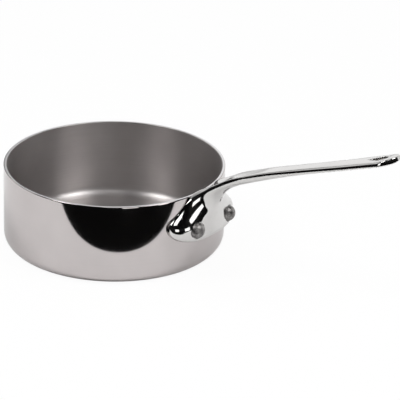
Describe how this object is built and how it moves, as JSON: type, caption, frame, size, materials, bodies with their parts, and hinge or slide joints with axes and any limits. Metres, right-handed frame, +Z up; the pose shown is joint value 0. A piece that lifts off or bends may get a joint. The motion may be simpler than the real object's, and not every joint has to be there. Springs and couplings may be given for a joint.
{
  "type": "saute pan",
  "caption": "Small straight-sided saute pan: clad stainless body with a rounded rim and bottom edge, and a slim cast handle riveted on by a winged plate, with a teardrop hanging eye.",
  "frame": {"origin": "middle of the pan's flat underside", "axes": "+X from the pan's axis along the handle to its tip, +Z up out of the pan's mouth"},
  "size_m": [0.2377, 0.12, 0.0946],
  "materials": {
    "mirror_steel": "mirror polished stainless steel",
    "core_aluminium": "satin, seen only as a line on the rim",
    "satin_steel": "finely brushed stainless steel",
    "cast_steel": "polished cast stainless steel",
    "rivet_steel": "dull, lightly dented rivet heads"
  },
  "bodies": {
    "root": {"outer_ply": "mirror_steel", "core_ply": "core_aluminium", "inner_ply": "satin_steel", "handle": "cast_steel", "rivet_near": "rivet_steel", "rivet_far": "rivet_steel"}
  },
  "joints": []
}
